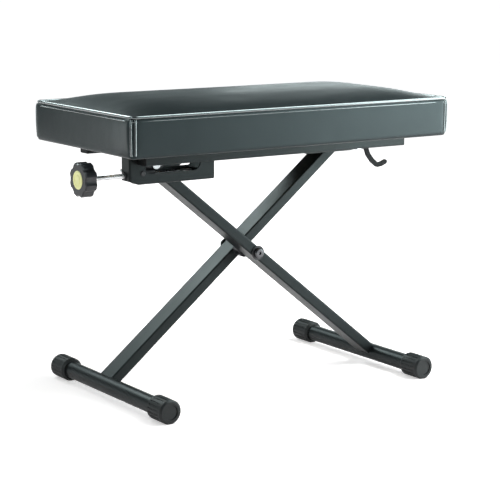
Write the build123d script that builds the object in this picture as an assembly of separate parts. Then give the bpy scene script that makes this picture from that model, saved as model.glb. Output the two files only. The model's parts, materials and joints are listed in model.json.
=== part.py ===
from build123d import *
from math import cos, pi, radians, sin
import os

# Folding keyboard bench with a screw height adjuster, in millimetres.
# X runs along the seat, Y from front to back, Z up from the floor.

# Shared clearances
over = 2.0                    # how far a cutting tool runs past the face it opens
slide_gap = 0.3               # faces that slide past each other
pin_gap = 0.05                # a pin in its bore, on the radius
side_gap = 0.2                # washers and spacers beside what turns on them
cloth_gap = 0.3               # soft pieces and their neighbours
seat_fit = 0.05               # curved faces pressed together

# Legs and the X they form
leg_angle = 38.95             # degrees from the floor, at the lowest setting
leg_lower_share = 0.532       # foot axis to centre pivot, of the seat's length
leg_upper_share = 0.42529     # centre pivot to upper axle, of the seat's length
leg_width = 38.0
leg_thickness = 18.0
leg_wall = 1.5
leg_edge = 2.5
leg_gap = 16.0                # between the two legs
pivot_x = -4.5
leg_bush_radius = 9.0
axle_radius = 5.0

# Feet
foot_bar_radius = 14.0
foot_bar_wall = 2.0
foot_cap_radius = 19.5
foot_cap_length = 45.0
foot_cap_end = 5.5
foot_span = 361.0             # over both caps
foot_sole = 0.5               # depth of the flat along a cap's underside
cap_shoulder = 4.5
cap_mouth_radius = 16.4
cap_edge = 3.0
cap_recess_radius = 12.5
cap_recess = 1.5
cap_rib_count = 20
cap_groove_width = 2.0
cap_groove_depth = 1.0
cap_groove_inset = 8.0
cap_plain_turn = 15.0         # degrees either side of the sole left without grooves

# Centre pivot
sleeve_radius = 7.0
spacer_radius = 13.0
pivot_washer_radius = 12.0
pivot_washer = 1.6
bolt_head_radius = 8.5
bolt_head = 5.5
bolt_dome = 2.5
bolt_socket_radius = 3.0
bolt_socket = 2.5
nut_across_flats = 16.0
nut_taper = 15                # degrees
nut_height = 8.0
bolt_end = 1.5

# Rails under the seat
rail_inset_left = 53.0        # from the seat's left end
rail_inset_right = 49.5
rail_width = 25.0
rail_height = 20.0
rail_wall = 1.5
rail_edge = 2.0
rail_centre_y = 91.5
rail_above_axle = 5.6         # rail underside above the upper axles' centre
plug_flange = 2.0
plug_insert = 12.0
plug_gap = 0.1
plug_rib = 1.2
plug_rib_step = 4.0

# Cushion
seat_length = 609.0
seat_width = 309.0
seat_side = 62.0              # boxed side, board underside to top edge
seat_corner = 8.0
crown_height = 13.0
crown_reach_share = 0.385
edge_roll = 3.6
side_draw = 1.6
cover_thickness = 1.2
hem_width = 26.0
welt_radius = 1.6
welt_stand = 0.3
board_thickness = 12.0
board_inset = 9.0
board_corner = 6.0
corner_growth_share = 0.17
# height up the side, bottom roll, draw of the side
side_shares = ((0, 1, 0), (0.03, 0.45, 0), (0.08, 0.1, 0.1), (0.3, 0, 0.75), (0.52, 0, 1), (0.75, 0, 0.7),
               (0.92, 0, 0.15), (1, 0, 0))
# height up the crown, way in from the edge
crown_shares = ((0, 0), (0.24, 0.045), (0.45, 0.11), (0.66, 0.22), (0.83, 0.4), (0.94, 0.64), (1, 1))
staple_width = 10.0
staple_wire = 1.2
staple_flat = 0.6
staple_leg = 6.0
staple_pitch = 62.0
staple_inset = 18.0

# Cross plates and screws that tie rails and board
plate = 3.0
screw_head_radius = 4.5
screw_head = 2.6
screw_radius = 2.2
screw_depth = 9.0
screw_hole_gap = 0.2
screw_edge = 12.0
screw_row_y = 71.0

# Height adjuster
adjuster_inset = 37.5         # adjuster plate from the seat's left end
adjuster_length = 155.5
adjuster_drop = 52.0          # plate depth below the board
adjuster_lip = 24.5
adjuster_chamfer_x = 17.0
adjuster_chamfer_z = 6.0
bend_radius = 3.0
window_left = 29.0            # from the plate's left end
window_length = 101.0
window_low = 16.3             # above the plate's lower edge
window_height = 28.0
window_radius_left = 8.0
window_radius_right = 13.0
rivet_radius = 4.2
rivet_height = 1.6
rivet_in = 24.0
rivet_low = 17.5
cross_plate_in = 32.0
travel = 64.0                 # of the carriage along its screw
carriage_plate = 6.0
carriage_left = 31.0          # carriage left of the axle
carriage_right = 13.0
carriage_corner = 6.0
carriage_foot = 7.2           # below the axle centre
nut_length = 20.0
nut_depth = 21.1
nut_size = 18.0
rod_radius = 4.0
rod_below_axle = 13.0
rod_side_gap = 1.3
rod_journal_radius = 3.0
rod_end_past = 10.5
rod_support_from_left = 123.5
rod_support_top = 5.4
rod_collar_radius = 7.5
rod_collar_width = 6.0
rod_ring_radius = 5.2
rod_ring_width = 4.0
bushing_radius = 5.5
bushing_flange_radius = 6.8
bushing_flange = 1.8
guide_height = 12.0           # of a guide plate below the axle centre
outer_guide_height = 18.0
guide_end = 15.0
washer_radius = 9.0
axle_head_radius = 7.0
axle_head = 2.0
clip_radius = 7.2
clip = 1.0
axle_end = 1.2

# Hand knob
knob_radius = 27.5
knob_scallop_radius = 12.0
knob_scallop_out = 9.4        # scallop centres outside the knob's radius
knob_lobes = 8
knob_blend = 2.2
knob_thickness = 20.5
knob_edge = 1.8
knob_hub_radius = 9.0
knob_hub = 5.0
knob_from_plate = 61.0        # knob's inner face to the adjuster plate
knob_bore_depth = 16.0
knob_cap_radius = 14.4
knob_cap = 3.0
knob_cap_stand = 1.0
knob_cap_edge = 0.8
knob_ring_radius = 9.5
knob_ring_width = 1.6
knob_ring_depth = 0.5
knob_pin_radius = 1.5

# Fold latch
guide_left = 73.5             # rear axle guides, left of the axle
guide_right = 55.0
latch_plate_left = 84.0       # latch cross plate, left of the rear axle
latch_plate_right = 55.0
lever_thickness = 4.0
lever_width = 8.0
lever_y = -59.5
lever_pivot_left = 29.0       # pivot, left of the rear axle
lever_pivot_up = 9.5
lever_boss_radius = 7.0
lever_pin_radius = 3.0
lever_reach = 82.0
lever_drop = 44.0
lever_bend = 4.0
# along the reach, down the drop
lever_shares = ((0, 0), (0.4, -0.04), (0.48, 0.14), (0.55, 0.48), (0.66, 0.73), (0.79, 0.92),
                (0.89, 0.9), (1.0, 0.82))
lever_room_length = 38.0
hook_length = 7.0
hook_foot = 2.0
lug_half_width = 10.0
lug_foot = 9.5
lug_corner_share = 0.9        # of lug_foot
pin_head_radius = 5.0
pin_head = 2.0
spring_wire_radius = 0.6
spring_coil_radius = 4.6
spring_pitch = 1.6
spring_turns = 4
spring_turn_steps = 10
spring_leg = 11.0

# Places worked out from the sizes above
leg_lower = leg_lower_share * seat_length
leg_upper = leg_upper_share * seat_length
crown_reach = crown_reach_share * seat_width
adjuster_left = adjuster_inset - seat_length / 2
rail_left = rail_inset_left - seat_length / 2
rail_right = seat_length / 2 - rail_inset_right
rise = sin(radians(leg_angle))
run = cos(radians(leg_angle))
foot_z = foot_cap_radius - foot_sole
pivot_z = foot_z + leg_lower * rise
axle_z = pivot_z + leg_upper * rise
front_axle_x = pivot_x - leg_upper * run
rear_axle_x = pivot_x + leg_upper * run
front_leg_y = (-leg_gap / 2 - leg_width, -leg_gap / 2)
rear_leg_y = (leg_gap / 2, leg_gap / 2 + leg_width)
rail_low = axle_z + rail_above_axle
board_low = rail_low + rail_height
seat_edge_z = board_low + seat_side
rail_in = rail_centre_y - rail_width / 2
adjuster_right = adjuster_left + adjuster_length
adjuster_low = board_low - adjuster_drop
plate_low = board_low - plate
axle_washer = plate / 3
outer_guide_back = front_leg_y[0] - axle_washer - 2 * side_gap
outer_guide_y = (outer_guide_back - plate, outer_guide_back)
carriage_back = outer_guide_y[0] - slide_gap
carriage_front = carriage_back - carriage_plate
rod_y = carriage_front - rod_side_gap - rod_radius
rod_z = axle_z - rod_below_axle
nut_left = front_axle_x - carriage_left
knob_in = adjuster_left - knob_from_plate
knob_out = knob_in - knob_thickness
knob_face = knob_out - knob_cap_stand
rod_support_x = adjuster_left + rod_support_from_left
guide_y = (-leg_gap / 6 - plate, -leg_gap / 6)
lever_x = rear_axle_x - lever_pivot_left
lever_z = axle_z + lever_pivot_up
seat_right = seat_length / 2 + welt_stand + welt_radius
origin_x = (seat_right + knob_face) / 2


def block(x, y, z):
    centre = ((x[0] + x[1]) / 2, (y[0] + y[1]) / 2, (z[0] + z[1]) / 2)
    return Location(centre) * Box(abs(x[1] - x[0]), abs(y[1] - y[0]), abs(z[1] - z[0]))


def round_y(radius, x, z, y):
    middle = Location((x, (y[0] + y[1]) / 2, z))
    return middle * (Rot(90, 0, 0) * Cylinder(radius, abs(y[1] - y[0])))


def round_x(radius, y, z, x):
    middle = Location(((x[0] + x[1]) / 2, y, z))
    return middle * (Rot(0, 90, 0) * Cylinder(radius, abs(x[1] - x[0])))


def round_z(radius, x, y, z):
    return Location((x, y, (z[0] + z[1]) / 2)) * Cylinder(radius, abs(z[1] - z[0]))


def ring_y(outer, inner, x, z, y):
    return round_y(outer, x, z, y) - round_y(inner, x, z, (y[0] - over, y[1] + over))


def ring_x(outer, inner, y, z, x):
    return round_x(outer, y, z, x) - round_x(inner, y, z, (x[0] - over, x[1] + over))


def save(name, *shapes):
    solids = [solid for shape in shapes for solid in shape.solids()]
    placed = [solid.moved(Location((-origin_x, 0, 0))) for solid in solids]
    export_step(placed[0] if len(placed) == 1 else Compound(placed), f"parts/{name}.step")


# Cushion: board, foam, cover, welt and staples

def cushion_section(inset, z):
    corner = seat_corner + corner_growth_share * inset
    return Plane.XY.offset(z) * RectangleRounded(seat_length - 2 * inset, seat_width - 2 * inset, corner)


def cushion_form(shrink, low, edge):
    sides = [cushion_section(shrink + edge_roll * roll + side_draw * draw, low + up * (edge - low))
             for up, roll, draw in side_shares]
    crown = [cushion_section(shrink + crown_reach * way, edge + crown_height * up)
             for up, way in crown_shares]
    return loft(sides, ruled=True) + loft(crown, ruled=True)


def welt_tube(radius):
    reach = 2 * welt_stand
    corner = seat_corner + welt_stand
    outline = RectangleRounded(seat_length + reach, seat_width + reach, corner)
    path = (Plane.XY.offset(seat_edge_z) * outline).face().outer_wire()
    start = Plane(origin=path @ 0, z_dir=path % 0)
    return sweep(start * Circle(radius), path=path, transition=Transition.ROUND)


def staple_places():
    x_edge = seat_length / 2 - staple_inset
    y_edge = seat_width / 2 - staple_inset
    along = int(2 * x_edge // staple_pitch)
    across = int(2 * y_edge // staple_pitch)
    places = []
    for side in (-1, 1):
        for i in range(along):
            places.append(((i - (along - 1) / 2) * staple_pitch, side * y_edge, 0))
        for i in range(across):
            places.append((side * x_edge, (i - (across - 1) / 2) * staple_pitch, 90))
    return places


def staple(gap):
    low = board_low - cover_thickness
    crown = block((-staple_width / 2, staple_width / 2), (-staple_wire / 2, staple_wire / 2),
                  (low - staple_flat, low))
    legs = []
    for side in (-1, 1):
        outer = side * staple_width / 2
        inner = outer - side * staple_wire
        legs.append(block((inner - side * gap, outer + side * gap),
                          (-staple_wire / 2 - gap, staple_wire / 2 + gap), (low, low + staple_leg)))
    return crown + legs


def staples(gap=0):
    return [Location((x, y, 0), (0, 0, turn)) * staple(gap) for x, y, turn in staple_places()]


def screw_places():
    left = adjuster_left + cross_plate_in
    right = adjuster_right
    latch_left = rear_axle_x - latch_plate_left
    latch_right = rear_axle_x + latch_plate_right
    columns = (left + screw_edge, right - screw_edge, latch_left + screw_edge, latch_right - screw_edge)
    return [(x, side * screw_row_y) for x in columns for side in (-1, 1)]


def screw_shanks(gap):
    top = board_low + screw_depth + gap
    return [round_z(screw_radius + gap, x, y, (plate_low - over, top)) for x, y in screw_places()]


def seat_screws():
    made = []
    for x, y in screw_places():
        head = round_z(screw_head_radius, x, y, (plate_low - screw_head, plate_low))
        head = chamfer(head.faces().sort_by(Axis.Z)[0].edges(), screw_head / 2)
        shank = round_z(screw_radius, x, y, (plate_low, board_low + screw_depth))
        made.append(head + shank)
    return made


def seat_board():
    top = board_low + board_thickness
    length = seat_length - 2 * board_inset
    width = seat_width - 2 * board_inset
    outline = Plane.XY.offset(board_low) * RectangleRounded(length, width, board_corner)
    board = extrude(outline, top - board_low)
    return board - screw_shanks(screw_hole_gap) - staples(pin_gap)


def seat_cushion():
    outer = cushion_form(0, board_low - cover_thickness, seat_edge_z)
    hollow = cushion_form(cover_thickness, board_low, seat_edge_z - cover_thickness)
    mouth_length = seat_length - 2 * hem_width
    mouth_width = seat_width - 2 * hem_width
    mouth = block((-mouth_length / 2, mouth_length / 2), (-mouth_width / 2, mouth_width / 2),
                  (board_low - cover_thickness - over, board_low + over))
    outer -= welt_tube(welt_radius + seat_fit)
    cover = outer - hollow - mouth - staples(pin_gap)
    foam = cushion_form(cover_thickness + cloth_gap, board_low + cloth_gap,
                        seat_edge_z - cover_thickness - cloth_gap)
    half_length = seat_length / 2 - board_inset + cloth_gap
    half_width = seat_width / 2 - board_inset + cloth_gap
    board_space = block((-half_length, half_length), (-half_width, half_width),
                        (board_low - over, board_low + board_thickness))
    return cover, foam - board_space


# Rails with their end plugs

def rail(side):
    y = side * rail_centre_y
    z = rail_low + rail_height / 2
    face = Plane(origin=(rail_left, y, z), x_dir=(0, 1, 0), z_dir=(1, 0, 0))
    outer = extrude(face * RectangleRounded(rail_width, rail_height, rail_edge), rail_right - rail_left)
    bore = RectangleRounded(rail_width - 2 * rail_wall, rail_height - 2 * rail_wall, rail_wall / 2)
    return outer - extrude(face.offset(-over) * bore, rail_right - rail_left + 2 * over)


def rail_plugs():
    made = []
    z = rail_low + rail_height / 2
    inner_width = rail_width - 2 * rail_wall - 2 * plug_gap
    inner_height = rail_height - 2 * rail_wall - 2 * plug_gap
    for x, end in ((rail_left, -1), (rail_right, 1)):
        for side in (-1, 1):
            face = Plane(origin=(x, side * rail_centre_y, z), x_dir=(0, 1, 0), z_dir=(end, 0, 0))
            plug = extrude(face * RectangleRounded(rail_width, rail_height, rail_edge), plug_flange)
            plug = chamfer(plug.faces().sort_by(Axis.X)[-1 if end > 0 else 0].edges(), plug_flange / 3)
            core = Rectangle(inner_width - 2 * plug_rib, inner_height - 2 * plug_rib)
            fin = Rectangle(inner_width, inner_height)
            fin = chamfer(fin.vertices(), rail_wall / 2)
            plug += extrude(face * core, -plug_insert)
            for i in range(int(plug_insert // plug_rib_step)):
                rib = face.offset(-(i + 1) * plug_rib_step)
                plug += extrude(rib * fin, plug_rib)
            made.append(plug)
    return made


# Height adjuster under the left end

def adjuster_plate():
    front = -rail_in
    outline = Polyline((adjuster_left, plate_low), (adjuster_right, plate_low),
                       (adjuster_right, adjuster_low),
                       (adjuster_left + adjuster_chamfer_x, adjuster_low),
                       (adjuster_left, adjuster_low + adjuster_chamfer_z), close=True)
    face = Plane(origin=(0, front, 0), x_dir=(1, 0, 0), z_dir=(0, -1, 0))
    sheet = extrude(face * make_face(outline), -plate)
    lip = block((adjuster_left, adjuster_left + plate), (front, front + adjuster_lip),
                (adjuster_low + adjuster_chamfer_z, plate_low))
    foot = block((adjuster_left + adjuster_chamfer_x, adjuster_right), (front, front + adjuster_lip),
                 (adjuster_low, adjuster_low + plate))
    sheet = sheet + lip + foot
    corner = sheet.edges().filter_by(Axis.Z).filter_by_position(Axis.X, adjuster_left, adjuster_left)
    sheet = fillet(corner.sort_by(Axis.Y)[0], bend_radius)
    low_edge = [edge for edge in sheet.edges().filter_by(Axis.X)
                if abs(edge.center().Y - front) < pin_gap and abs(edge.center().Z - adjuster_low) < pin_gap]
    sheet = fillet(low_edge, bend_radius)
    sheet -= window()
    y = (front - over, front + adjuster_lip + over)
    through = (adjuster_left - over, adjuster_left + plate + over)
    sheet -= round_x(bushing_radius + seat_fit, rod_y, rod_z, through)
    sheet -= round_y(rivet_radius / 2, adjuster_left + rivet_in, adjuster_low + rivet_low, y)
    return sheet


def window():
    left = adjuster_left + window_left
    right = left + window_length
    low = adjuster_low + window_low
    top = low + window_height
    cut = block((left, right), (-rail_in - over, -rail_in + plate + over), (low, top))
    edges = cut.edges().filter_by(Axis.Y)
    cut = fillet(edges.sort_by(Axis.X)[:2], window_radius_left)
    return fillet(cut.edges().filter_by(Axis.Y).sort_by(Axis.X)[-2:], window_radius_right)


def plate_rivet():
    x = adjuster_left + rivet_in
    z = adjuster_low + rivet_low
    front = -rail_in
    head = round_y(rivet_radius, x, z, (front - rivet_height, front))
    head = chamfer(head.faces().sort_by(Axis.Y)[0].edges(), rivet_height / 2)
    tail = round_y(rivet_radius, x, z, (front + plate, front + plate + rivet_height))
    shank = round_y(rivet_radius / 2 - seat_fit, x, z, (front, front + plate))
    return head + shank + tail


def adjuster_cross_plate():
    x = (adjuster_left + cross_plate_in, adjuster_right)
    sheet = block(x, (-rail_in, rail_in), (plate_low, board_low))
    return sheet - screw_shanks(screw_hole_gap)


def guide_slot(y, left, right, radius):
    middle = block((left, right), y, (axle_z - radius, axle_z + radius))
    return middle + round_y(radius, left, axle_z, y) + round_y(radius, right, axle_z, y)


def front_axle_guides():
    outer = block((adjuster_left + cross_plate_in, adjuster_right), outer_guide_y,
                  (axle_z - outer_guide_height, plate_low))
    inner = block((front_axle_x - guide_end, front_axle_x + travel + guide_end), guide_y,
                  (axle_z - guide_height, plate_low))
    made = []
    for sheet, y in ((outer, outer_guide_y), (inner, guide_y)):
        sheet = fillet(sheet.edges().filter_by(Axis.Y).group_by(Axis.Z)[0], guide_height / 2)
        reach = (y[0] - over, y[1] + over)
        made.append(sheet - guide_slot(reach, front_axle_x, front_axle_x + travel, axle_radius + slide_gap))
    return made


def rod_support():
    x = (rod_support_x, rod_support_x + plate)
    y = (-rail_in + plate, outer_guide_y[0])
    post = block(x, y, (adjuster_low + plate, rod_z + rod_support_top))
    post = fillet(post.edges().filter_by(Axis.X).sort_by(Axis.Z)[-1], carriage_plate / 2)
    return post - round_x(rod_journal_radius + pin_gap, rod_y, rod_z, (x[0] - over, x[1] + over))


def rod_bushing():
    left = adjuster_left - bushing_flange
    body = round_x(bushing_radius, rod_y, rod_z, (adjuster_left, adjuster_left + plate))
    body += round_x(bushing_flange_radius, rod_y, rod_z, (left, adjuster_left))
    body = chamfer(body.faces().sort_by(Axis.X)[0].edges(), bushing_flange / 3)
    return body - round_x(rod_radius + pin_gap, rod_y, rod_z, (left - over, adjuster_left + plate + over))


def screw_carriage():
    x = (nut_left, front_axle_x + carriage_right)
    top = plate_low - slide_gap
    cheek = block(x, (carriage_front, carriage_back), (axle_z - carriage_foot, top))
    cheek = fillet(cheek.edges().filter_by(Axis.Y).group_by(Axis.X)[-1], carriage_corner)
    nut = block((nut_left, nut_left + nut_length), (carriage_back - nut_depth, carriage_back),
                (rod_z - nut_size / 2, rod_z + nut_size / 2))
    nut = fillet(nut.edges().filter_by(Axis.X).group_by(Axis.Y)[0], nut_size / 4)
    body = cheek + nut
    body -= round_x(rod_radius + pin_gap, rod_y, rod_z, (x[0] - over, x[1] + over))
    through = (carriage_front - over, carriage_back + over)
    return body - round_y(axle_radius + pin_gap, front_axle_x, axle_z, through)


def threaded_rod():
    support = rod_support_x - slide_gap
    thick = round_x(rod_radius, rod_y, rod_z, (knob_in - knob_bore_depth, support))
    thin = round_x(rod_journal_radius, rod_y, rod_z, (support, rod_support_x + plate + rod_end_past))
    pin_x = knob_in + knob_hub / 2
    rod = chamfer((thick + thin).faces().sort_by(Axis.X)[-1].edges(), rod_journal_radius / 4)
    through = (rod_z - knob_radius, rod_z + knob_radius)
    return rod - round_z(knob_pin_radius + pin_gap, pin_x, rod_y, through)


def rod_collar():
    left = adjuster_left + plate + slide_gap
    ring = ring_x(rod_collar_radius, rod_radius + seat_fit, rod_y, rod_z, (left, left + rod_collar_width))
    screw_x = left + rod_collar_width / 2
    return ring - round_z(knob_pin_radius, screw_x, rod_y, (rod_z + rod_radius, rod_z + knob_radius))


def rod_end_ring():
    left = rod_support_x + plate + slide_gap
    span = (left, left + rod_ring_width)
    return ring_x(rod_ring_radius, rod_journal_radius + seat_fit, rod_y, rod_z, span)


# Hand knob

def hand_knob():
    face = Plane(origin=(knob_out, rod_y, rod_z), x_dir=(0, 1, 0), z_dir=(1, 0, 0))
    scallop_at = knob_radius + knob_scallop_out
    outline = Circle(knob_radius) - PolarLocations(scallop_at, knob_lobes) * Circle(knob_scallop_radius)
    outline = fillet(outline.vertices(), knob_blend)
    knob = extrude(face * outline, knob_thickness)
    knob = chamfer(knob.faces().sort_by(Axis.X)[0].edges(), knob_edge)
    knob = chamfer(knob.faces().sort_by(Axis.X)[-1].edges(), knob_edge)
    knob += round_x(knob_hub_radius, rod_y, rod_z, (knob_in, knob_in + knob_hub))
    cap_room = (knob_out - over, knob_out + knob_cap - knob_cap_stand)
    knob -= round_x(knob_cap_radius + seat_fit, rod_y, rod_z, cap_room)
    rod_room = (knob_in - knob_bore_depth, knob_in + knob_hub + over)
    knob -= round_x(rod_radius + seat_fit, rod_y, rod_z, rod_room)
    pin_x = knob_in + knob_hub / 2
    through = (rod_z - knob_radius, rod_z + knob_radius)
    return knob - round_z(knob_pin_radius + pin_gap, pin_x, rod_y, through)


def knob_cap_disc():
    disc = round_x(knob_cap_radius, rod_y, rod_z, (knob_face, knob_face + knob_cap))
    disc = chamfer(disc.faces().sort_by(Axis.X)[0].edges(), knob_cap_edge)
    groove = ring_x(knob_ring_radius, knob_ring_radius - knob_ring_width, rod_y, rod_z,
                    (knob_face - over, knob_face + knob_ring_depth))
    return disc - groove


def knob_pin():
    x = knob_in + knob_hub / 2
    return round_z(knob_pin_radius, x, rod_y, (rod_z - knob_hub_radius, rod_z + knob_hub_radius))


# Legs, feet, axles and centre pivot

def stand(shape, foot_x, lean):
    turn = -leg_angle if lean > 0 else leg_angle - 180
    return Location((foot_x, 0, foot_z)) * (Rot(0, turn, 0) * shape)


def leg_pieces(y, foot_x, lean):
    middle = (y[0] + y[1]) / 2
    reach = leg_lower + leg_upper
    face = Plane(origin=(0, middle, 0), x_dir=(0, 1, 0), z_dir=(1, 0, 0))
    tube = extrude(face * RectangleRounded(leg_width, leg_thickness, leg_edge), reach)
    bore = RectangleRounded(leg_width - 2 * leg_wall, leg_thickness - 2 * leg_wall, leg_edge - leg_wall)
    tube -= extrude(face * bore, reach)
    wide = (y[0] - over, y[1] + over)
    tube -= round_y(foot_bar_radius + seat_fit, 0, 0, wide)
    tube -= round_y(leg_bush_radius + seat_fit, reach, 0, wide)
    tube -= round_y(sleeve_radius + seat_fit, leg_lower, 0, wide)
    bush = ring_y(leg_bush_radius, axle_radius + pin_gap, reach, 0, y)
    sleeve = ring_y(sleeve_radius, axle_radius + pin_gap, leg_lower, 0, y)
    return [stand(piece, foot_x, lean) for piece in (tube, bush, sleeve)]


def foot_bar(x):
    end = foot_span / 2 - foot_cap_end
    return ring_y(foot_bar_radius, foot_bar_radius - foot_bar_wall, x, foot_z, (-end, end))


def foot_cap(x, side):
    end = foot_span / 2
    mouth = end - foot_cap_length
    inner = foot_bar_radius + seat_fit
    floor = end - foot_cap_end + seat_fit
    outline = Polyline((inner, mouth), (cap_mouth_radius, mouth), (foot_cap_radius, mouth + cap_shoulder),
                       (foot_cap_radius, end - cap_edge), (foot_cap_radius - cap_edge, end),
                       (cap_recess_radius, end), (cap_recess_radius, end - cap_recess),
                       (0, end - cap_recess), (0, floor), (inner, floor), close=True)
    cap = revolve(make_face(outline), Axis.Y)
    groove = block((foot_cap_radius - cap_groove_depth, foot_cap_radius + over),
                   (mouth + cap_groove_inset, end - cap_groove_inset),
                   (-cap_groove_width / 2, cap_groove_width / 2))
    turns = [360 / cap_rib_count * (i + 1 / 2) for i in range(cap_rib_count)]
    cap -= [Rot(0, turn, 0) * groove for turn in turns if abs(turn - 90) > cap_plain_turn]
    cap -= block((-foot_cap_radius, foot_cap_radius), (mouth - over, end + over),
                 (-foot_cap_radius - over, foot_sole - foot_cap_radius))
    if side < 0:
        cap = mirror(cap, Plane.XZ)
    return Location((x, 0, foot_z)) * cap


def hex_nut(x, z, y):
    face = Plane(origin=(x, y[0], z), x_dir=(1, 0, 0), z_dir=(0, 1, 0))
    body = extrude(face * RegularPolygon(nut_across_flats / 2, 6, major_radius=False), y[1] - y[0])
    cone = Plane(origin=(x, y[1], z), x_dir=(1, 0, 0), z_dir=(0, -1, 0))
    body &= extrude(cone * Circle(nut_across_flats / 2), y[1] - y[0], taper=-nut_taper)
    return body - round_y(axle_radius + seat_fit, x, z, (y[0] - over, y[1] + over))


def pivot_pieces():
    front = front_leg_y[0] - side_gap
    back = rear_leg_y[1] + side_gap
    washers = [ring_y(pivot_washer_radius, axle_radius + seat_fit, pivot_x, pivot_z, y)
               for y in ((front - pivot_washer, front), (back, back + pivot_washer))]
    head_back = front - pivot_washer
    nut_front = back + pivot_washer
    head = round_y(bolt_head_radius, pivot_x, pivot_z, (head_back - bolt_head, head_back))
    head = fillet(head.faces().sort_by(Axis.Y)[0].edges(), bolt_dome)
    bolt = head + round_y(axle_radius, pivot_x, pivot_z, (head_back, nut_front + nut_height + bolt_end))
    socket_face = Plane(origin=(pivot_x, head_back - bolt_head, pivot_z), x_dir=(1, 0, 0), z_dir=(0, 1, 0))
    bolt -= extrude(socket_face * RegularPolygon(bolt_socket_radius, 6), bolt_socket)
    spacer = ring_y(spacer_radius, axle_radius + seat_fit, pivot_x, pivot_z,
                    (front_leg_y[1] + side_gap, rear_leg_y[0] - side_gap))
    return bolt, hex_nut(pivot_x, pivot_z, (nut_front, nut_front + nut_height)), washers, spacer


def front_axle_pieces():
    back = guide_y[1] + side_gap
    pin = round_y(axle_radius, front_axle_x, axle_z, (carriage_front, back + clip + axle_end))
    head_back = carriage_front - side_gap
    pin += round_y(axle_head_radius, front_axle_x, axle_z, (carriage_front - axle_head, head_back))
    pin += round_y(axle_radius, front_axle_x, axle_z, (head_back, carriage_front))
    inner = axle_radius + seat_fit
    ring = ring_y(clip_radius, inner, front_axle_x, axle_z, (back, back + clip))
    washers = [ring_y(washer_radius, inner, front_axle_x, axle_z, y)
               for y in ((outer_guide_back + side_gap, front_leg_y[0] - side_gap),
                         (front_leg_y[1] + side_gap, guide_y[0] - side_gap))]
    return pin, ring, washers


def rear_axle_pieces():
    front_guide, back_guide = rear_guide_spans()
    front = lever_y + lever_thickness / 2 + slide_gap
    back = back_guide[1] + side_gap
    pin = round_y(axle_radius, rear_axle_x, axle_z, (front, back + clip + axle_end))
    inner = axle_radius + seat_fit
    spans = ((front_guide[0] - side_gap - clip, front_guide[0] - side_gap), (back, back + clip))
    rings = [ring_y(clip_radius, inner, rear_axle_x, axle_z, y) for y in spans]
    return pin, rings


# Fold latch and the guides of the rear axle

def rear_guide_spans():
    front = rear_leg_y[0] - plate + side_gap - leg_gap / 6
    back = rear_leg_y[1] + leg_gap / 6 - side_gap
    return (front, front + plate), (back, back + plate)


def rear_axle_guides():
    made = []
    for y in rear_guide_spans():
        x = (rear_axle_x - guide_left, rear_axle_x + guide_right)
        sheet = block(x, y, (axle_z - guide_height, plate_low))
        sheet = fillet(sheet.edges().filter_by(Axis.Y).group_by(Axis.Z)[0], guide_height / 2)
        reach = (y[0] - over, y[1] + over)
        left, right = rear_axle_x - travel, rear_axle_x + guide_right + over
        made.append(sheet - guide_slot(reach, left, right, axle_radius + slide_gap))
    return made


def latch_cross_plate():
    x = (rear_axle_x - latch_plate_left, rear_axle_x + latch_plate_right)
    sheet = block(x, (-rail_in, rail_in), (plate_low, board_low))
    room = lever_thickness * 2
    sheet -= block((lever_x + lever_boss_radius, lever_x + lever_boss_radius + lever_room_length),
                   (lever_y - room, lever_y + room), (plate_low - over, board_low + over))
    return sheet - screw_shanks(screw_hole_gap)


def lug_span():
    front = lever_y - lever_thickness / 2 - slide_gap - plate
    return (front, front + plate)


def latch_lug():
    y = lug_span()
    sheet = block((lever_x - lug_half_width, lever_x + lug_half_width), y, (lever_z - lug_foot, plate_low))
    sheet = fillet(sheet.edges().filter_by(Axis.Y).group_by(Axis.Z)[0], lug_foot * lug_corner_share)
    return sheet - round_y(lever_pin_radius + pin_gap, lever_x, lever_z, (y[0] - over, y[1] + over))


def pin_back():
    return lever_y + lever_thickness / 2 + slide_gap + spring_pitch * (spring_turns + 1)


def latch_pin():
    front = lug_span()[0]
    pin = round_y(lever_pin_radius, lever_x, lever_z, (front, pin_back()))
    pin += round_y(pin_head_radius, lever_x, lever_z, (front - pin_head, front))
    return pin + round_y(pin_head_radius, lever_x, lever_z, (pin_back(), pin_back() + pin_head))


def lever_points():
    return [(lever_x + lever_reach * across, lever_z - lever_drop * down) for across, down in lever_shares]


def lever_strip(width, first=0):
    path = FilletPolyline(*lever_points()[first:], radius=lever_bend)
    return trace(path, line_width=width)


def latch_lever():
    face = Plane(origin=(0, lever_y + lever_thickness / 2, 0), x_dir=(1, 0, 0), z_dir=(0, -1, 0))
    arm = lever_strip(lever_width) + Location((lever_x, lever_z)) * Circle(lever_boss_radius)
    arm += Location(lever_points()[-1]) * Circle(lever_width / 2)
    body = extrude(face * arm, lever_thickness)
    hook_left = rear_axle_x + axle_radius + slide_gap
    hook = block((hook_left, hook_left + hook_length),
                 (lever_y - lever_thickness / 2, lever_y + lever_thickness / 2),
                 (axle_z - hook_foot, lever_z - hook_foot))
    body += fillet(hook.edges().filter_by(Axis.Y).group_by(Axis.Z)[0], hook_foot)
    y = (lever_y - lever_thickness, lever_y + lever_thickness)
    return body - round_y(lever_pin_radius + pin_gap, lever_x, lever_z, y)


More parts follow.
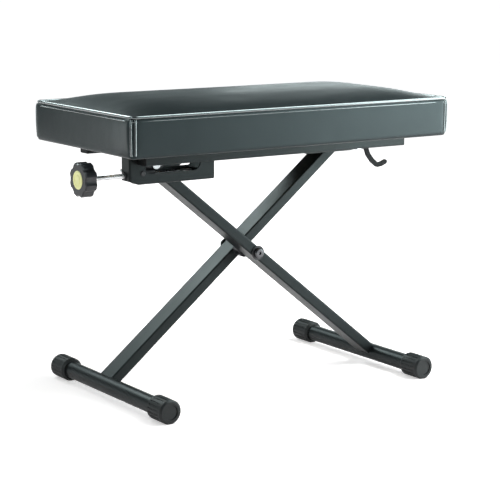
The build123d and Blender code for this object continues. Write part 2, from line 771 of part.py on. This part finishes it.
def latch_spring():
    start = lever_y + lever_thickness / 2 + slide_gap + spring_wire_radius
    steps = spring_turns * spring_turn_steps
    path = []
    for i in range(steps + 1):
        angle = 2 * pi * i / spring_turn_steps
        rise_here = spring_pitch * i / spring_turn_steps
        path.append((spring_coil_radius * cos(angle), spring_coil_radius * sin(angle), rise_here))
    coil = Polyline(*path)
    section = Plane(origin=coil @ 0, z_dir=coil % 0) * RegularPolygon(spring_wire_radius, 6)
    spring = Rot(-90, 0, 0) * sweep(section, path=coil, transition=Transition.RIGHT)
    leg = round_z(spring_wire_radius, spring_coil_radius, 0, (0, spring_leg))
    return Location((lever_x, start, lever_z)) * (spring + leg)


def build():
    os.makedirs("parts", exist_ok=True)
    cover, foam = seat_cushion()
    save("seat_cover", cover)
    save("seat_foam", foam)
    save("seat_board", seat_board())
    save("seat_welt", welt_tube(welt_radius))
    save("cover_staples", *staples())
    save("seat_screws", *seat_screws())
    save("front_rail", rail(-1))
    save("rear_rail", rail(1))
    save("rail_end_plugs", *rail_plugs())
    save("adjuster_plate", adjuster_plate())
    save("adjuster_cross_plate", adjuster_cross_plate())
    save("plate_rivet", plate_rivet())
    save("front_axle_guides", *front_axle_guides())
    save("rod_support", rod_support())
    save("rod_bushing", rod_bushing())
    save("threaded_rod", threaded_rod())
    save("rod_collar", rod_collar())
    save("rod_end_ring", rod_end_ring())
    save("hand_knob", hand_knob())
    save("knob_cap", knob_cap_disc())
    save("knob_pin", knob_pin())
    save("screw_carriage", screw_carriage())

    pin, ring, washers = front_axle_pieces()
    save("front_axle", pin)
    save("front_axle_clip", ring)
    save("front_axle_washers", *washers)
    right_foot_x = pivot_x + leg_lower * run
    left_foot_x = pivot_x - leg_lower * run
    for name, y, foot_x, lean, foot in (("front_leg", front_leg_y, right_foot_x, -1, "right"),
                                        ("rear_leg", rear_leg_y, left_foot_x, 1, "left")):
        tube, bush, sleeve = leg_pieces(y, foot_x, lean)
        save(f"{name}_tube", tube)
        save(f"{name}_bush", bush)
        save(f"{name}_pivot_sleeve", sleeve)
        save(f"{foot}_foot_bar", foot_bar(foot_x))
        save(f"{foot}_foot_caps", foot_cap(foot_x, -1), foot_cap(foot_x, 1))

    bolt, nut, washers, spacer = pivot_pieces()
    save("pivot_bolt", bolt)
    save("pivot_nut", nut)
    save("pivot_washers", *washers)
    save("pivot_spacer", spacer)

    pin, rings = rear_axle_pieces()
    save("rear_axle", pin)
    save("rear_axle_clips", *rings)
    save("rear_axle_guides", *rear_axle_guides())
    save("latch_cross_plate", latch_cross_plate())
    save("latch_lug", latch_lug())
    save("latch_pin", latch_pin())
    save("latch_lever", latch_lever())
    save("latch_spring", latch_spring())


build()
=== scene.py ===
import bpy
import json
import math
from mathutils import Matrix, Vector
from mathutils.bvhtree import BVHTree


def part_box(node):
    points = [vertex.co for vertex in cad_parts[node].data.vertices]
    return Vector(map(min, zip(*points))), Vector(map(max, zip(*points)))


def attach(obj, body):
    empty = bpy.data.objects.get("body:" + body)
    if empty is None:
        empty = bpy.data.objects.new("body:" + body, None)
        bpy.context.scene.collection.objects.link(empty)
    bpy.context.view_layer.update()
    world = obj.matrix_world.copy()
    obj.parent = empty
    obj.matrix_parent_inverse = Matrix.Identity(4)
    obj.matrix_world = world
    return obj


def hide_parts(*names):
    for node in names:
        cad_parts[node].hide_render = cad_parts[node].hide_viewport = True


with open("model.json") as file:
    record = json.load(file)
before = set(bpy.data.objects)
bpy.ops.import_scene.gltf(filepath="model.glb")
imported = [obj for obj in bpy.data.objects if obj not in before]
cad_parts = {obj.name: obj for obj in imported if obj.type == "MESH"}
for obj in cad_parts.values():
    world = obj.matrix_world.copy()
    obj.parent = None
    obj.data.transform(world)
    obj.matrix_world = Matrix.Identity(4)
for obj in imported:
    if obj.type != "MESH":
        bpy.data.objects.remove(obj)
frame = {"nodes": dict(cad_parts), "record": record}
nodes = frame["nodes"]
scene = bpy.context.scene
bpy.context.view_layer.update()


def deselectAll():
    if bpy.context.object and bpy.context.object.mode != "OBJECT":
        bpy.ops.object.mode_set(mode="OBJECT")
    bpy.ops.object.select_all(action="DESELECT")


def pick(obj):
    deselectAll()
    obj.select_set(True)
    bpy.context.view_layer.objects.active = obj


def settle(obj):  # place goes into the mesh, object back at the origin
    pick(obj)
    bpy.ops.object.transform_apply(location=True, rotation=True, scale=True)


def dress(obj, body, slotName, material, *replaced):
    obj.data.materials.clear()
    obj.data.materials.append(material)
    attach(obj, body)
    if replaced:
        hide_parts(*replaced)


def bevelEdges(obj, test, width, steps):  # obj is the picked one, test sees both ends of an edge
    bpy.ops.object.mode_set(mode="EDIT")
    bpy.ops.mesh.select_mode(type="EDGE")
    bpy.ops.mesh.select_all(action="DESELECT")
    bpy.ops.object.mode_set(mode="OBJECT")
    for edge in obj.data.edges:
        a, b = (obj.data.vertices[i].co for i in edge.vertices)
        edge.select = test(a, b)
    bpy.ops.object.mode_set(mode="EDIT")
    bpy.ops.mesh.bevel(offset=width, segments=steps, affect="EDGES")
    bpy.ops.object.mode_set(mode="OBJECT")


def applyModifier(obj, name):
    pick(obj)
    bpy.ops.object.modifier_apply(modifier=name)


def joinAs(name, parts):
    pick(parts[0])
    for obj in parts[1:]:
        obj.select_set(True)
    bpy.ops.object.join()
    joined = bpy.context.object
    joined.name = name
    return joined


def addCylinder(radius, x0, x1, y, z, sides):  # lies along X
    deselectAll()
    bpy.ops.mesh.primitive_cylinder_add(vertices=sides, radius=radius, depth=x1 - x0,
                                        location=((x0 + x1) / 2, y, z),
                                        rotation=(0, math.radians(90), 0))
    cylinder = bpy.context.object
    settle(cylinder)
    return cylinder


def setInputs(node, values):
    for name, value in values.items():
        node.inputs[name].default_value = value
    return node


def addNode(tree, kind, values=None, operation=None):
    node = tree.nodes.new("ShaderNode" + kind)
    if operation:
        node.operation = operation
    return setInputs(node, values or {})


def link(tree, source, output, target, entry):
    tree.links.new(source.outputs[output], target.inputs[entry])


plainFinish = {"roughness": 0.5, "metallic": 0.0, "specular": 0.5, "tint": (1, 1, 1), "coat": 0.0,
               "coatRoughness": 0.1, "coatIor": 1.5}


def newMaterial(name, look):
    look = dict(plainFinish, **look)
    mat = bpy.data.materials.new(name)
    mat.use_nodes = True
    shader = setInputs(mat.node_tree.nodes["Principled BSDF"], {
        "Base Color": (*look["color"], 1), "Roughness": look["roughness"],
        "Metallic": look["metallic"], "Specular IOR Level": look["specular"],
        "Specular Tint": (*look["tint"], 1), "Coat Weight": look["coat"],
        "Coat Roughness": look["coatRoughness"], "Coat IOR": look["coatIor"]})
    return mat, mat.node_tree, shader


def addBump(tree, texture, output, look):
    bump = addNode(tree, "Bump", {"Strength": look["strength"], "Distance": look["depth"]})
    link(tree, texture, output, bump, "Height")
    return bump


def addGrain(tree, shader, look):  # fine bumps, pebbled where no detail is given
    coords = addNode(tree, "TexCoord")
    if "detail" in look:
        grain = addNode(tree, "TexNoise", {"Scale": look["scale"], "Detail": look["detail"]})
        bump = addBump(tree, grain, "Fac", look)
    else:
        grain = addNode(tree, "TexVoronoi", {"Scale": look["scale"]})
        bump = addBump(tree, grain, "Distance", look)
    link(tree, coords, "Object", grain, "Vector")
    link(tree, bump, "Normal", shader, "Normal")
    return coords, bump


def stretchedNoise(tree, coords, look):
    place = addNode(tree, "Mapping", {"Scale": look["stretch"]})
    noise = addNode(tree, "TexNoise", {"Scale": look["scale"], "Detail": look["detail"]})
    link(tree, coords, "Object", place, "Vector")
    link(tree, place, "Vector", noise, "Vector")
    return noise


def varyRoughness(tree, shader, coords, look):
    noise = stretchedNoise(tree, coords, dict({"stretch": (1, 1, 1), "detail": 4}, **look))
    span = addNode(tree, "MapRange", {"From Min": 0.3, "From Max": 0.7,  # most of a noise is in here
                                      "To Min": look["low"], "To Max": look["high"]})
    link(tree, noise, "Fac", span, "Value")
    link(tree, span, "Result", shader, "Roughness")


def makeFinish(name, look):
    mat, tree, shader = newMaterial(name, look)
    if "grain" in look:
        coords, bump = addGrain(tree, shader, look["grain"])
    if "patches" in look:
        varyRoughness(tree, shader, coords, look["patches"])
    if "crease" in look:
        crease = stretchedNoise(tree, coords, look["crease"])
        link(tree, addBump(tree, crease, "Fac", look["crease"]), "Normal", bump, "Normal")
    return mat


def makePlywood():
    look = {"color": (0.5, 0.36, 0.21), "roughness": 0.7, "specular": 0.3,
            "dark": (0.34, 0.22, 0.11), "light": (0.62, 0.47, 0.3),
            "plies": {"stretch": (1.2, 14, 60), "scale": 6, "detail": 5}}
    mat, tree, shader = newMaterial("plywood", look)
    noise = stretchedNoise(tree, addNode(tree, "TexCoord"), look["plies"])
    ramp = addNode(tree, "ValToRGB")
    ramp.color_ramp.elements[0].color = (*look["dark"], 1)
    ramp.color_ramp.elements[1].color = (*look["light"], 1)
    link(tree, noise, "Fac", ramp, "Fac")
    link(tree, ramp, "Color", shader, "Base Color")
    return mat


leatherLook = {"color": (0.006, 0.009, 0.010), "roughness": 0.36, "specular": 0.30,
               "tint": (0.8, 0.97, 1.0), "coatRoughness": 0.14,
               "grain": {"scale": 900, "strength": 0.25, "depth": 0.0003},
               "crease": {"scale": 14, "detail": 3, "strength": 0.3, "depth": 0.002,
                          "stretch": (0.6, 1.6, 1.0)},
               "patches": {"scale": 24, "low": 0.34, "high": 0.39, "stretch": (0.7, 1.5, 1)}}
weltLook = dict(leatherLook, roughness=0.26, specular=1.0, coat=1.0, coatIor=1.8,
                crease=dict(leatherLook["crease"], strength=0.05),
                patches=dict(leatherLook["patches"], low=0.2, high=0.28))
leatherette = makeFinish("leatherette", leatherLook)
weltLeather = makeFinish("weltLeather", weltLook)
zinc = makeFinish("brightZinc", {
    "color": (0.72, 0.73, 0.74), "roughness": 0.24, "metallic": 1.0,
    "grain": {"scale": 320, "strength": 0.06, "depth": 0.0002, "detail": 2},
    "patches": {"scale": 60, "low": 0.18, "high": 0.32}})
dullZinc = makeFinish("dullZinc", {"color": (0.16, 0.16, 0.165), "roughness": 0.42, "metallic": 1.0})
darkSteel = makeFinish("darkSteel", {"color": (0.09, 0.09, 0.095), "roughness": 0.24, "metallic": 1.0})
matteBlack = makeFinish("matteBlack", {"color": (0.006, 0.0065, 0.007), "roughness": 0.5,
                                       "specular": 0.10})
slotFinishes = {
    "leatherette": leatherette,
    "foam": makeFinish("foam", {"color": (0.8, 0.76, 0.62), "roughness": 0.9}),
    "plywood": makePlywood(),
    "powder_coat": makeFinish("powderCoat", {
        "color": (0.008, 0.009, 0.0095), "roughness": 0.36, "specular": 0.22,
        "tint": (0.85, 0.99, 1.0),
        "grain": {"scale": 700, "strength": 0.12, "depth": 0.0003, "detail": 2},
        "patches": {"scale": 14, "low": 0.32, "high": 0.42}}),
    "zinc_steel": zinc,
    "black_steel": makeFinish("blackSteel", {"color": (0.022, 0.022, 0.024), "roughness": 0.34,
                                             "metallic": 0.3}),
    "rubber": makeFinish("footRubber", {
        "color": (0.010, 0.011, 0.0115), "roughness": 0.52, "specular": 0.32,
        "grain": {"scale": 500, "strength": 0.15, "depth": 0.0004, "detail": 3},
        "patches": {"scale": 30, "low": 0.44, "high": 0.6}}),
    "plastic": makeFinish("knobPlastic", {
        "color": (0.013, 0.013, 0.016), "roughness": 0.3,
        "grain": {"scale": 400, "strength": 0.05, "depth": 0.0002, "detail": 2}}),
    "cap_yellow": makeFinish("yellowCap", {
        "color": (0.95, 0.9, 0.42), "roughness": 0.32,
        "grain": {"scale": 300, "strength": 0.04, "depth": 0.0002, "detail": 2}}),
}
nodeFinishes = {"latch_pin": dullZinc, "seat_screws": dullZinc, "rear_axle_clips": dullZinc,
                "front_axle_clip": dullZinc, "latch_spring": dullZinc, "pivot_bolt": darkSteel,
                "latch_lever": matteBlack, "rail_end_plugs": matteBlack}
for entry in frame["record"]["subparts"]:
    name = entry["node"]
    nodes[name].data.materials.clear()
    nodes[name].data.materials.append(nodeFinishes.get(name, slotFinishes[entry["material_slot"]]))
print("materials on the frame's pieces")


def boxOf(node):
    low, high = (Vector(corner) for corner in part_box(node))
    return {"low": low, "high": high, "mid": (low + high) / 2, "half": (high - low) / 2}


coverMid, coverHalf = boxOf("seat_cover")["mid"], boxOf("seat_cover")["half"]
edgeZ = boxOf("seat_welt")["mid"].z
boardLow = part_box("seat_board")[0][2]

# sideShares runs from the hem at 0 to the welt at 1, with the share of endOut and frontOut there
cushionLook = {"inset": 0.0002, "corner": 0.005, "cornerSteps": 5, "skin": 0.0012,
               "bottomRoll": 0.0022, "rollSteps": 3, "uprightEdge": 0.01, "level": 0.00001,
               "voxel": 0.0052, "topBand": 0.001,
               "crown": 0.0165, "crownReach": 0.12, "crownPower": 2.6,
               "endOut": 0.0068, "frontOut": 0.0016, "sideIn": 0.0010, "cornerPower": 2.2,
               "sideShares": ((0, 0.4), (0.08, 0.6), (0.25, 0.85), (0.5, 1), (0.85, 1), (0.95, 0.7),
                              (1, 0.1)),
               "hem": 0.026, "hemDepth": 0.002, "recess": 0.004}
stuffingLook = {"pressure": 4.0, "frames": 20, "quality": 6, "mass": 0.3, "tension": 12,
                "compression": 6, "bending": 0.6, "pinVoxels": 0.8, "pinIn": 0.008, "pinUp": 0.012,
                "capTop": 0.006, "capSide": 0.0016}


def fromEdges(point):  # how far a point lies in from the seat's ends, and from its front and back
    return coverHalf.x - abs(point.x - coverMid.x), coverHalf.y - abs(point.y - coverMid.y)


def crownShare(distance, look):
    share = min(1, max(0, distance / look["crownReach"]))
    return 1 - (1 - share) ** look["crownPower"]


def shareAt(shares, where):
    for (a, low), (b, high) in zip(shares, shares[1:]):
        if where <= b:
            return low + (high - low) * max(0, where - a) / (b - a)
    return shares[-1][1]


def sideOut(along, z, cornerOut, look):  # along is 0 at the middle of a side and 1 at its corners
    low = boardLow - look["skin"]
    up = min(1, max(0, (z - low) / (edgeZ - low)))
    reach = cornerOut + look["sideIn"]
    return (reach * along ** look["cornerPower"] - look["sideIn"]) * shareAt(look["sideShares"], up)


def drawSides(point, look):  # corners stand out, the middle of each side pulls in
    inX, inY = fromEdges(point)
    alongX = min(1, abs(point.x - coverMid.x) / coverHalf.x)
    alongY = min(1, abs(point.y - coverMid.y) / coverHalf.y)
    if inX < look["corner"]:
        out = sideOut(alongY, point.z, look["endOut"], look) * (1 - inX / look["corner"])
        point.x += out * math.copysign(1, point.x - coverMid.x)
    if inY < look["corner"]:
        out = sideOut(alongX, point.z, look["frontOut"], look) * (1 - inY / look["corner"])
        point.y += out * math.copysign(1, point.y - coverMid.y)


def makeCushionForm(look):
    low = boardLow - look["skin"]
    deselectAll()
    bpy.ops.mesh.primitive_cube_add(size=1, location=(coverMid.x, coverMid.y, (low + edgeZ) / 2))
    cushion = bpy.context.object
    cushion.name = "seatCushion"
    cushion.scale = (2 * (coverHalf.x - look["inset"]), 2 * (coverHalf.y - look["inset"]), edgeZ - low)
    settle(cushion)
    bevelEdges(cushion, lambda a, b: abs(a.z - b.z) > look["uprightEdge"], look["corner"],
               look["cornerSteps"])
    bevelEdges(cushion, lambda a, b: max(a.z, b.z) < low + look["level"], look["bottomRoll"],
               look["rollSteps"])
    cushion.data.remesh_voxel_size = look["voxel"]
    pick(cushion)
    bpy.ops.object.voxel_remesh()
    for vertex in cushion.data.vertices:
        if vertex.co.z > edgeZ - look["topBand"]:
            inX, inY = fromEdges(vertex.co)
            vertex.co.z += look["crown"] * crownShare(inX, look) * crownShare(inY, look)
        else:
            drawSides(vertex.co, look)
    return cushion


def pinCushion(cushion, look, stuffing):  # held along the welt and round the hem
    pins = cushion.vertex_groups.new(name="pins")
    low = boardLow - look["skin"]
    for vertex in cushion.data.vertices:
        onLevel = abs(vertex.co.z - edgeZ) < look["voxel"] * stuffing["pinVoxels"]
        nearEdge = onLevel and min(fromEdges(vertex.co)) < stuffing["pinIn"]
        if nearEdge or vertex.co.z < low + stuffing["pinUp"]:
            pins.add([vertex.index], 1.0, "REPLACE")


def puffCushion(cushion, look, stuffing):
    start = [vertex.co.copy() for vertex in cushion.data.vertices]
    pinCushion(cushion, look, stuffing)
    cloth = cushion.modifiers.new("stuffing", "CLOTH")
    cloth.settings.quality = stuffing["quality"]
    cloth.settings.mass = stuffing["mass"]
    cloth.settings.tension_stiffness = stuffing["tension"]
    cloth.settings.compression_stiffness = stuffing["compression"]
    cloth.settings.bending_stiffness = stuffing["bending"]
    cloth.settings.use_pressure = True
    cloth.settings.uniform_pressure_force = stuffing["pressure"]
    cloth.settings.effector_weights.gravity = 0
    cloth.settings.vertex_group_mass = "pins"
    cloth.point_cache.frame_start = 1
    cloth.point_cache.frame_end = stuffing["frames"]
    for step in range(1, stuffing["frames"] + 1):
        scene.frame_set(step)
    applyModifier(cushion, "stuffing")
    for vertex, first in zip(cushion.data.vertices, start):  # no point moves further than its cap
        move = vertex.co - first
        cap = stuffing["capTop"] if first.z > edgeZ + look["topBand"] else stuffing["capSide"]
        vertex.co = first + move * (cap / (cap + move.length))
    scene.frame_set(1)


def foldHem(cushion, look):  # the middle of the underside lies inside the board, the hem under it
    for vertex in cushion.data.vertices:
        if vertex.co.z < boardLow + look["hemDepth"] and min(fromEdges(vertex.co)) > look["hem"]:
            vertex.co.z = boardLow + look["recess"]


cushion = makeCushionForm(cushionLook)
puffCushion(cushion, cushionLook, stuffingLook)
pick(cushion)
bpy.ops.object.shade_smooth()
smoother = cushion.modifiers.new("round", "SUBSURF")
smoother.levels = smoother.render_levels = 1
applyModifier(cushion, "round")
foldHem(cushion, cushionLook)
dress(cushion, "seat_frame", "leatherette", leatherette, "seat_cover", "seat_foam")
print("cushion", len(cushion.data.vertices))


def tubeAlong(name, points, radius, closed=True, resolution=3):
    curve = bpy.data.curves.new(name, "CURVE")
    curve.dimensions = "3D"
    curve.bevel_depth = radius
    curve.bevel_resolution = resolution
    curve.use_fill_caps = not closed
    spline = curve.splines.new("POLY")
    spline.points.add(len(points) - 1)
    for target, point in zip(spline.points, points):
        target.co = (*point, 1)
    spline.use_cyclic_u = closed
    obj = bpy.data.objects.new(name, curve)
    scene.collection.objects.link(obj)
    pick(obj)
    bpy.ops.object.convert(target="MESH")
    obj = bpy.context.object
    bpy.ops.object.shade_smooth()
    return obj


def roundedLoop(halfX, halfY, corner, z, steps=8, along=16):  # level, round the cushion's middle
    signs = ((1, 1), (-1, 1), (-1, -1), (1, -1))
    points = []
    for turn, (sx, sy) in enumerate(signs):
        cx = coverMid.x + sx * (halfX - corner)
        cy = coverMid.y + sy * (halfY - corner)
        for i in range(steps + 1):
            angle = math.radians(90 * turn + 90 * i / steps)
            points.append(Vector((cx + corner * math.cos(angle), cy + corner * math.sin(angle), z)))
        nextX, nextY = signs[(turn + 1) % len(signs)]
        end = Vector((coverMid.x + nextX * halfX, coverMid.y + nextY * halfY, z))
        if turn % 2 == 0:
            end.x -= nextX * corner
        else:
            end.y -= nextY * corner
        start = points[-1]
        points += [start.lerp(end, i / along) for i in range(1, along)]
    return points


def makeWelt():
    look = {"radius": 0.0025, "stand": 0.0004, "corner": 0.0085}
    loop = roundedLoop(coverHalf.x + look["stand"], coverHalf.y + look["stand"], look["corner"], edgeZ)
    welt = tubeAlong("seatWelt", loop, look["radius"])
    dress(welt, "seat_frame", "leatherette", weltLeather, "seat_welt")


def ontoCushion(points, stand, skin):
    placed = []
    for point in points:
        spot, normal = skin.find_nearest(point)[:2]
        placed.append(spot + normal * stand)
    return placed


def makeSeams():
    look = {"drop": 0.0062, "loopOut": 0.002, "ridge": 0.0010, "stand": -0.0003, "frontSink": 0.0005,
            "cornerRidge": 0.0019, "cornerStand": -0.0004, "sideBack": 0.0018, "frontIn": 0.0035,
            "outside": 0.003, "lowGap": 0.004, "highGap": 0.001, "steps": 12}
    skin = BVHTree.FromObject(cushion, bpy.context.evaluated_depsgraph_get())
    loop = roundedLoop(coverHalf.x + look["loopOut"], coverHalf.y + look["loopOut"],
                       cushionLook["corner"], edgeZ - look["drop"])
    placed = ontoCushion(loop, look["stand"], skin)
    for point in placed:  # the long sides' stitching is pulled in further
        if fromEdges(point)[0] > cushionLook["corner"]:
            point.y -= math.copysign(look["frontSink"], point.y - coverMid.y)
    made = [tubeAlong("stitchRidge", placed, look["ridge"])]
    low, high = boardLow + look["lowGap"], edgeZ - look["highGap"]
    besideCorner = ((coverHalf.x - look["frontIn"], coverHalf.y + look["outside"]),
                    (coverHalf.x + look["outside"], coverHalf.y - look["sideBack"]))
    for sx, sy in ((-1, -1), (-1, 1), (1, -1), (1, 1)):
        for x, y in besideCorner:
            points = [Vector((coverMid.x + sx * x, coverMid.y + sy * y,
                              low + (high - low) * i / look["steps"]))
                      for i in range(look["steps"] + 1)]
            made.append(tubeAlong("cornerRidge", ontoCushion(points, look["cornerStand"], skin),
                                  look["cornerRidge"], closed=False))
    dress(joinAs("coverSeams", made), "seat_frame", "leatherette", weltLeather)


makeWelt()
makeSeams()
print("welt and seams")


def makeThread(look, start, end, mid):
    pitch = look["lead"] / look["starts"]
    rows = [(look[where], pitch * share) for share, where in look["profile"]]
    points = [(r, 0, along + pitch * i) for i in range(look["starts"]) for r, along in rows]
    points.append((look["core"], 0, look["lead"]))
    mesh = bpy.data.meshes.new("threadProfile")
    mesh.from_pydata(points, [(i, i + 1) for i in range(len(points) - 1)], [])
    thread = bpy.data.objects.new("rodThread", mesh)
    scene.collection.objects.link(thread)
    screw = thread.modifiers.new("thread", "SCREW")
    screw.axis = "Z"
    screw.angle = math.tau
    screw.screw_offset = look["lead"]
    screw.iterations = int((end - start) / look["lead"])
    screw.steps = screw.render_steps = look["steps"]
    screw.use_merge_vertices = True
    screw.merge_threshold = look["weld"]
    applyModifier(thread, "thread")
    thread.rotation_euler = (0, math.radians(90), 0)
    thread.location = (start, mid.y, mid.z)
    settle(thread)
    return thread


def makeThreadedRod():
    # the profile gives shares of the pitch, and which radius the thread has there
    look = {"lead": 0.004, "starts": 2, "core": 0.0036, "tip": 0.004, "steps": 14,
            "profile": ((0, "core"), (0.22, "tip"), (0.74, "tip"), (0.96, "core")), "weld": 0.00001,
            "journal": 0.003, "sides": 28, "gap": 0.0005, "overlap": 0.001, "smoothAngle": 40}
    place = boxOf("threaded_rod")
    low, high, mid = place["low"].x, place["high"].x, place["mid"]
    start, end = boxOf("hand_knob")["high"].x, boxOf("rod_support")["low"].x - look["gap"]
    parts = [makeThread(look, start, end, mid)]
    for x0, x1, radius in ((low, start + look["overlap"], look["tip"]), (start, end, look["core"]),
                           (end - look["lead"], end, look["tip"]), (end, high, look["journal"])):
        parts.append(addCylinder(radius, x0, x1, mid.y, mid.z, look["sides"]))
    rod = joinAs("adjusterRod", parts)
    bpy.ops.object.mode_set(mode="EDIT")
    bpy.ops.mesh.select_all(action="SELECT")
    bpy.ops.mesh.normals_make_consistent(inside=False)
    bpy.ops.object.mode_set(mode="OBJECT")
    bpy.ops.object.shade_smooth_by_angle(angle=math.radians(look["smoothAngle"]))
    dress(rod, "height_screw", "zinc_steel", zinc, "threaded_rod")


def makeFlangeScrew():
    look = {"radius": 0.0026, "height": 0.0016, "back": 0.0085, "up": 0.0075, "sides": 20,
            "crownShare": 0.6, "rimShare": 0.9, "crownSteps": 3, "smoothAngle": 50}
    flange = boxOf("adjuster_plate")["low"].x
    rod = boxOf("threaded_rod")["mid"]
    head = addCylinder(look["radius"], flange - look["height"], flange, rod.y + look["back"],
                       rod.z + look["up"], look["sides"])
    head.name = "flangeScrew"
    bevelEdges(head, lambda a, b: max(a.x, b.x) < flange - look["height"] * look["rimShare"],
               look["height"] * look["crownShare"], look["crownSteps"])
    bpy.ops.object.shade_smooth_by_angle(angle=math.radians(look["smoothAngle"]))
    dress(head, "seat_frame", "zinc_steel", zinc)


makeFlangeScrew()
makeThreadedRod()
print("rod")


def backdropRays(tree, kinds):  # how much of the pale backdrop each kind of ray sees
    rays = addNode(tree, "LightPath")
    level = None
    for kind, share in kinds.items():
        part = addNode(tree, "Math", {1: share}, "MULTIPLY")
        link(tree, rays, kind, part, 0)
        if level:
            both = addNode(tree, "Math", operation="MAXIMUM")
            link(tree, level, "Value", both, 0)
            link(tree, part, "Value", both, 1)
            part = both
        level = part
    return level


def makeStage():
    # the floor's own white is near up to the distance from, and far beyond the distance to
    look = {"size": 40, "color": (0.96, 0.85, 0.85), "roughness": 0.9, "specular": 0.1,
            "near": 0.45, "far": 1.0, "from": 0.55, "to": 1.5,
            "rays": {"Is Camera Ray": 1, "Is Glossy Ray": 0.4, "Is Transmission Ray": 1}}
    deselectAll()
    bpy.ops.mesh.primitive_plane_add(size=look["size"], location=(0, 0, 0))
    floor = bpy.context.object
    floor.name = "studioFloor"
    mat, tree, shader = newMaterial("studioFloor", look)
    output = next(node for node in tree.nodes if node.type == "OUTPUT_MATERIAL")
    coords = addNode(tree, "TexCoord")
    away = addNode(tree, "VectorMath", operation="LENGTH")
    rise = addNode(tree, "MapRange", {"From Min": look["from"], "From Max": look["to"],
                                      "To Min": look["near"], "To Max": look["far"]})
    lift = addNode(tree, "Math", operation="MULTIPLY")
    glow = addNode(tree, "Emission", {"Color": (1, 1, 1, 1)})
    both = addNode(tree, "AddShader")
    link(tree, coords, "Object", away, 0)
    link(tree, away, "Value", rise, "Value")
    link(tree, backdropRays(tree, look["rays"]), "Value", lift, 0)
    link(tree, rise, "Result", lift, 1)
    link(tree, lift, "Value", glow, "Strength")
    link(tree, shader, "BSDF", both, 0)
    link(tree, glow, "Emission", both, 1)
    link(tree, both, "Shader", output, "Surface")
    floor.data.materials.append(mat)


def makeWorld():
    # brightest at the horizon, and dark above high, which is a share of straight up
    look = {"low": 0.08, "high": 0.26, "horizon": 0.9, "zenith": 0.0, "seen": 1.15,
            "tint": (0.86, 0.99, 1.0),
            "rays": {"Is Camera Ray": 1, "Is Glossy Ray": 0.1, "Is Transmission Ray": 1}}
    world = bpy.data.worlds.new("studio")
    scene.world = world
    world.use_nodes = True
    tree = world.node_tree
    back = setInputs(tree.nodes["Background"], {"Color": (*look["tint"], 1)})
    coords = addNode(tree, "TexCoord")
    parts = addNode(tree, "SeparateXYZ")
    fall = addNode(tree, "MapRange", {"From Min": look["low"], "From Max": look["high"],
                                      "To Min": look["horizon"], "To Max": look["zenith"]})
    level = addNode(tree, "Mix", {3: look["seen"]})  # socket 0 is the factor, 2 and 3 the numbers
    link(tree, coords, "Generated", parts, "Vector")
    link(tree, parts, "Z", fall, "Value")
    link(tree, backdropRays(tree, look["rays"]), "Value", level, 0)
    link(tree, fall, "Result", level, 2)
    link(tree, level, 0, back, "Strength")


lampTint = (0.88, 1.0, 1.0)
lamps = {
    "rightFrontSoftbox": {"place": (1.38, -0.98, 0.52), "aim": (0.30, -0.12, 0.40),
                          "size": (1.0, 1.0), "radiance": 10},
    "overheadSoftbox": {"place": (1.05, -0.5, 1.9), "aim": (0, -0.15, 0.43),
                        "size": (1.5, 1.5), "radiance": 8},
    "backSoftbox": {"place": (-0.45, 1.7, 1.75), "aim": (-0.2, 0, 0.15),
                    "size": (1.3, 0.8), "radiance": 8.5},
    "backRightSoftbox": {"place": (2.25, 2.1, 0.95), "aim": (0, 0, 0.43),
                         "size": (1.5, 0.7), "radiance": 2.1},
    "leftSoftbox": {"place": (-0.72, 2.6, 0.2), "aim": (-0.3, 0, 0.3),
                    "size": (0.9, 0.4), "radiance": 2.2},
    "leftFill": {"place": (-2.2, -0.2, 1.3), "aim": (0, 0, 0.35),
                 "size": (1.0, 1.2), "radiance": 4},
}


def addLamp(name, look):
    lamp = bpy.data.lights.new(name, "AREA")
    lamp.shape = "RECTANGLE"
    lamp.size, lamp.size_y = look["size"]
    lamp.energy = look["radiance"] * math.pi * lamp.size * lamp.size_y
    lamp.color = lampTint
    obj = bpy.data.objects.new(name, lamp)
    scene.collection.objects.link(obj)
    obj.location = look["place"]
    aim = Vector(look["aim"]) - Vector(look["place"])
    obj.rotation_euler = aim.to_track_quat("-Z", "Y").to_euler()


def makeCamera():
    view = {"place": (-1.58693, -2.35767, 0.74166), "aim": (0.01144, 0.0, 0.21871), "lens": 123.64,
            "roll": 0.21, "sensor": 36, "clip": 60}
    data = bpy.data.cameras.new("photoCamera")
    data.lens = view["lens"]
    data.sensor_width = view["sensor"]
    data.clip_end = view["clip"]
    camera = bpy.data.objects.new("photoCamera", data)
    scene.collection.objects.link(camera)
    camera.location = Vector(view["place"]) + Vector((coverMid.x, 0, 0))
    aim = Vector(view["aim"]) - Vector(view["place"])
    camera.rotation_euler = aim.to_track_quat("-Z", "Y").to_euler()
    camera.rotation_euler.rotate_axis("Z", math.radians(view["roll"]))
    scene.camera = camera


makeStage()
makeWorld()
for name, look in lamps.items():
    addLamp(name, look)
makeCamera()
scene.view_settings.view_transform = "Standard"
print("stage and camera")
